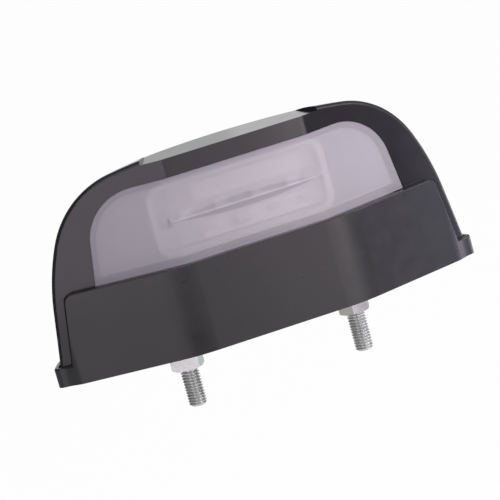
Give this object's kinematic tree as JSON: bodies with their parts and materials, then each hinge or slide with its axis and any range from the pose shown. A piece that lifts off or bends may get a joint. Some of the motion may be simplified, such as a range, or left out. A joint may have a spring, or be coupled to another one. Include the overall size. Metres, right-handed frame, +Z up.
{
  "type": "number plate lamp",
  "caption": "Number plate lamp with an arched black hood, an opal lens window in its faceted front, a raised front panel and threaded studs with nuts below its base.",
  "frame": {"origin": "on the mounting face, midway between the axes of the studs", "axes": "+X along the lamp, -Y out of the lens, +Z up from the mounting face; the studs point to -Z"},
  "size_m": [0.1182, 0.0414, 0.0703],
  "materials": {
    "black_plastic": "satin, fine grain",
    "opal_lens": "glossy, milky",
    "black_rubber": "matt",
    "white_plastic": "satin",
    "circuit_board": "satin",
    "led_lens": "glossy",
    "chip_ceramic": "matt",
    "zinc_steel": "bright zinc"
  },
  "bodies": {
    "root": {"base": "black_plastic", "hood": "black_plastic", "lens": "opal_lens", "lens_gasket": "black_rubber", "led_carrier": "white_plastic", "led_board": "circuit_board", "led_1": "led_lens", "led_2": "led_lens", "led_3": "led_lens", "led_4": "led_lens", "resistor_1": "chip_ceramic", "resistor_2": "chip_ceramic", "diode": "chip_ceramic", "driver_chip": "chip_ceramic", "board_screw_left": "zinc_steel", "board_screw_right": "zinc_steel", "carrier_screw_left": "zinc_steel", "carrier_screw_right": "zinc_steel", "hood_screw_left": "zinc_steel", "hood_screw_right": "zinc_steel", "stud_left": "zinc_steel", "stud_right": "zinc_steel", "nut_left": "zinc_steel", "nut_right": "zinc_steel", "cable_grommet": "black_rubber"}
  },
  "joints": []
}
